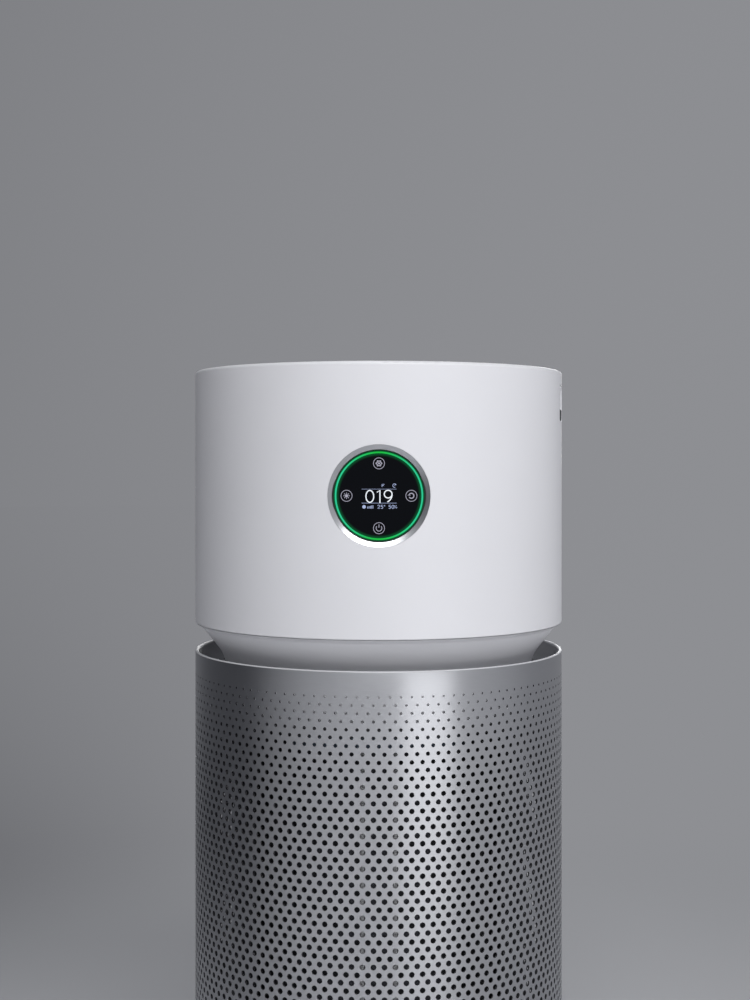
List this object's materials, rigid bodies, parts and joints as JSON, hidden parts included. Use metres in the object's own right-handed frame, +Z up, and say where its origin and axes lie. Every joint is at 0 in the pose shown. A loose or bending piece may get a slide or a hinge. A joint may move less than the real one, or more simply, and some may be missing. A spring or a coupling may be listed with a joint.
{
  "type": "air purifier",
  "caption": "Free-standing cylindrical air purifier: white drum head with a round touch display and top outlet grille over a perforated metal sleeve with a hinged rear filter door.",
  "frame": {"origin": "on the floor under the centre of the round body", "axes": "+Z up along the body's axis, -Y out of the display, +X to the right of the display seen from the front"},
  "size_m": [0.315, 0.315, 0.66],
  "materials": {
    "white_plastic": "satin white moulded plastic",
    "perforated_sheet": "satin anodised perforated sheet",
    "bezel_silver": "satin silver dish",
    "black_glass": "gloss black display glass",
    "light_guide": "clear light guide, lit green",
    "screen": "dark display panel",
    "dark_plastic": "fine grained dark grey plastic",
    "charcoal_plastic": "satin charcoal plastic",
    "duct_plastic": "plain grey moulded plastic",
    "wheel_plastic": "black glass-filled plastic",
    "switch_red": "red switch button plastic",
    "rubber": "matt black rubber",
    "foam": "soft grey sealing foam",
    "filter_cap": "blue-grey moulded cap",
    "filter_paper": "pleated glass-fibre paper",
    "filter_net": "dark woven outer net",
    "filter_core": "white ribbed core",
    "steel": "bright zinc-plated steel",
    "magnet": "nickel-plated magnet",
    "brass_pins": "plated contact pins",
    "copper": "enamelled copper winding",
    "lamination": "stacked steel laminations",
    "motor_metal": "die-cast motor case",
    "circuit_board": "green circuit board with parts",
    "lead": "insulated wire"
  },
  "bodies": {
    "body": {"head_shell": "white_plastic", "lower_cowl": "white_plastic", "neck_tube": "white_plastic", "top_ring": "white_plastic", "front_sleeve": "perforated_sheet", "display_bezel": "bezel_silver", "display_glass": "black_glass", "light_ring": "light_guide", "screen_panel": "screen", "base_tray": "dark_plastic", "base_cover": "dark_plastic", "upper_deck": "dark_plastic", "support_posts": "dark_plastic", "power_inlet": "dark_plastic", "display_housing": "dark_plastic", "sensor_module": "dark_plastic", "door_switch": "dark_plastic", "outlet_grille": "charcoal_plastic", "grille_cap": "charcoal_plastic", "fan_casing": "duct_plastic", "fan_inlet": "duct_plastic", "guide_vanes": "duct_plastic", "drum_cap": "duct_plastic", "feet": "rubber", "motor_mounts": "rubber", "filter_gasket": "foam", "filter_bottom_cap": "filter_cap", "filter_top_cap": "filter_cap", "filter_media": "filter_paper", "filter_net": "filter_net", "filter_core": "filter_core", "foot_screws": "steel", "post_screws": "steel", "neck_screws": "steel", "casing_screws": "steel", "display_screws": "steel", "board_screws": "steel", "motor_screws": "steel", "hinge_pins": "steel", "cover_pin": "steel", "motor_bearings": "steel", "strike_plates": "steel", "inlet_pins": "brass_pins", "stator_coils": "copper", "motor_stator": "lamination", "motor_housing": "motor_metal", "motor_cover": "motor_metal", "control_board": "circuit_board", "power_board": "circuit_board", "display_board": "circuit_board", "mains_lead": "lead"},
    "fan": {"fan_wheel": "wheel_plastic", "fan_nut": "steel", "motor_shaft": "steel", "motor_rotor": "magnet"},
    "door": {"door_skin": "perforated_sheet", "door_frame": "dark_plastic", "door_magnets": "magnet"},
    "plunger": {"switch_plunger": "switch_red"},
    "vent_cover": {"sensor_cover": "white_plastic"}
  },
  "joints": [
    {"name": "fan_spin", "type": "hinge", "parent": "body", "child": "fan", "pos_m": [0, 0, 0.5], "axis": [0, 0, 1], "continuous": true},
    {"name": "door_swing", "type": "hinge", "parent": "body", "child": "door", "pos_m": [-0.14601, 0.02969, 0.2], "axis": [0, 0, 1], "range_deg": [0, 90]},
    {"name": "plunger_travel", "type": "slide", "parent": "body", "child": "plunger", "axis": [0, 1, 0], "range_m": [0, 0.0015]},
    {"name": "cover_swing", "type": "hinge", "parent": "body", "child": "vent_cover", "pos_m": [0.15245, -0.02963, 0.646], "axis": [-0.1908, -0.9816, 0], "range_deg": [0, 80]}
  ],
  "couplings": [
    {"joint": "plunger_travel", "follows": "door_swing", "m_per_rad": 0.00095}
  ]
}
